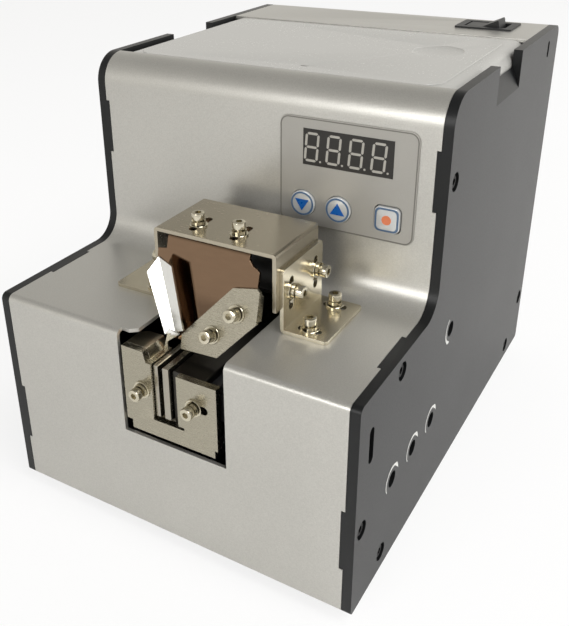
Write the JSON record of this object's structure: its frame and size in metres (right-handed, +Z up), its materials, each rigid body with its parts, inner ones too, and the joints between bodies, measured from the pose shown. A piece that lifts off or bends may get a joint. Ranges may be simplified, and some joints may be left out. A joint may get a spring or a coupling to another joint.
{
  "type": "automatic screw feeder",
  "caption": "Bench feeder that lifts screws from a hopper with a turning drum, shakes them along a slotted rail and offers them one at a time at its front.",
  "frame": {"origin": "middle of the overall box on the surface that the rubber feet stand on", "axes": "+X to the right as seen from the pick-up side, -Y towards the user and the pick-up point, +Z up"},
  "size_m": [0.125, 0.1844, 0.1451],
  "materials": {
    "cover_steel": "fine satin metallic silver paint",
    "side_black": "fine matt moulded texture",
    "frosted_lid": "frosted translucent",
    "base_steel": "satin grey",
    "foot_rubber": "matt",
    "nickel_sheet": "nickel plated, satin",
    "polished_sheet": "mirror polished",
    "tool_steel": "ground",
    "screw_steel": "nickel plated",
    "black_screw": "black oxide",
    "spring_steel": "tempered",
    "sheet_zinc": "zinc plated",
    "iron_core": "laminated",
    "copper_coil": "enamelled winding under tape",
    "drum_alloy": "turned",
    "gear_nylon": "moulded",
    "bronze_bush": "sintered",
    "motor_can": "plated",
    "bristle_nylon": "bristles",
    "panel_film": "printed film",
    "button_blue": "domed",
    "display_plastic": "tinted",
    "circuit_board": "solder resist",
    "black_plastic": "moulded",
    "trimmer_blue": "moulded",
    "trimmer_brass": "plated"
  },
  "bodies": {
    "casing": {"left_side_plate": "side_black", "right_side_plate": "side_black", "front_cover": "cover_steel", "rear_cover": "cover_steel", "base_plate": "base_steel", "rubber_feet": "foot_rubber", "pan_head_screws": "black_screw", "hood": "nickel_sheet", "left_hood_bracket": "nickel_sheet", "right_hood_bracket": "nickel_sheet", "guard_plate": "polished_sheet", "gate_plate": "nickel_sheet", "bit_guide": "polished_sheet", "hood_screws": "screw_steel", "bracket_screws": "screw_steel", "gate_screws": "screw_steel", "stopper_plate": "nickel_sheet", "stopper_screws": "screw_steel", "left_track_block": "tool_steel", "right_track_block": "tool_steel", "track_stands": "sheet_zinc", "pickup_sensor": "black_plastic", "leaf_springs": "spring_steel", "spring_clamps": "sheet_zinc", "magnet_core": "iron_core", "magnet_coil": "copper_coil", "hopper": "sheet_zinc", "shaft_bushes": "bronze_bush", "gear_frame": "sheet_zinc", "gear_motor": "motor_can", "panel_overlay": "panel_film", "button_switches": "black_plastic", "counter_board": "circuit_board", "display_module": "display_plastic", "control_board": "circuit_board", "trimmer_bodies": "trimmer_blue", "switch_housing": "black_plastic", "dc_jack": "black_plastic"},
    "lid": {"lid": "frosted_lid"},
    "power_rocker": {"power_rocker": "black_plastic"},
    "down_button": {"down_button": "button_blue"},
    "up_button": {"up_button": "button_blue"},
    "set_button": {"set_button": "button_blue"},
    "drum": {"scoop_drum": "drum_alloy", "drum_shaft": "tool_steel", "drum_gear": "gear_nylon"},
    "motor_pinion": {"motor_pinion": "tool_steel"},
    "crank_gear": {"crank_gear": "gear_nylon"},
    "brush": {"brush_shaft": "tool_steel", "brush_lever": "sheet_zinc", "brush_arm": "sheet_zinc", "brush_bristles": "bristle_nylon"},
    "rail": {"rail_bar_left": "tool_steel", "rail_bar_right": "tool_steel", "rail_carrier": "tool_steel", "armature": "iron_core"},
    "speed_trimmer": {"trimmer_rotor_1": "trimmer_brass"},
    "strength_trimmer": {"trimmer_rotor_2": "trimmer_brass"},
    "delay_trimmer": {"trimmer_rotor_3": "trimmer_brass"},
    "sense_trimmer": {"trimmer_rotor_4": "trimmer_brass"}
  },
  "joints": [
    {"name": "lid_lift", "type": "slide", "parent": "casing", "child": "lid", "axis": [0, 0, 1], "range_m": [0, 0.03]},
    {"name": "power_rock", "type": "hinge", "parent": "casing", "child": "power_rocker", "pos_m": [0.0399, 0.07325, 0.138], "axis": [0, 1, 0], "range_deg": [0, 24]},
    {"name": "down_press", "type": "slide", "parent": "casing", "child": "down_button", "axis": [0, 1, 0], "range_m": [0, 0.0006], "stiffness_N_per_m": 400},
    {"name": "up_press", "type": "slide", "parent": "casing", "child": "up_button", "axis": [0, 1, 0], "range_m": [0, 0.0006], "stiffness_N_per_m": 400},
    {"name": "set_press", "type": "slide", "parent": "casing", "child": "set_button", "axis": [0, 1, 0], "range_m": [0, 0.0006], "stiffness_N_per_m": 400},
    {"name": "drum_turn", "type": "hinge", "parent": "casing", "child": "drum", "pos_m": [0, 0.01515, 0.069], "axis": [0, 1, 0], "continuous": true},
    {"name": "motor_turn", "type": "hinge", "parent": "casing", "child": "motor_pinion", "pos_m": [0.0239, 0.03215, 0.08905], "axis": [0, 1, 0], "continuous": true},
    {"name": "crank_turn", "type": "hinge", "parent": "casing", "child": "crank_gear", "pos_m": [-0.02065, 0.03215, 0.09849], "axis": [0, 1, 0], "continuous": true},
    {"name": "brush_swing", "type": "hinge", "parent": "casing", "child": "brush", "pos_m": [0, 0.01215, 0.108], "axis": [0, 1, 0], "range_deg": [-14, 14]},
    {"name": "rail_shake", "type": "slide", "parent": "casing", "child": "rail", "axis": [0, 1, 0], "range_m": [-0.0004, 0.0004], "stiffness_N_per_m": 6000},
    {"name": "speed_adjust", "type": "hinge", "parent": "casing", "child": "speed_trimmer", "pos_m": [0.0565, -0.06145, 0.0353], "axis": [1, 0, 0], "range_deg": [-135, 135]},
    {"name": "strength_adjust", "type": "hinge", "parent": "casing", "child": "strength_trimmer", "pos_m": [0.0565, -0.04505, 0.0353], "axis": [1, 0, 0], "range_deg": [-135, 135]},
    {"name": "delay_adjust", "type": "hinge", "parent": "casing", "child": "delay_trimmer", "pos_m": [0.0565, -0.02865, 0.0353], "axis": [1, 0, 0], "range_deg": [-135, 135]},
    {"name": "sense_adjust", "type": "hinge", "parent": "casing", "child": "sense_trimmer", "pos_m": [0.0565, -0.01605, 0.0629], "axis": [1, 0, 0], "range_deg": [-135, 135]}
  ],
  "couplings": [
    {"joint": "motor_turn", "follows": "drum_turn", "ratio": -3.3333},
    {"joint": "crank_turn", "follows": "drum_turn", "ratio": -2}
  ]
}
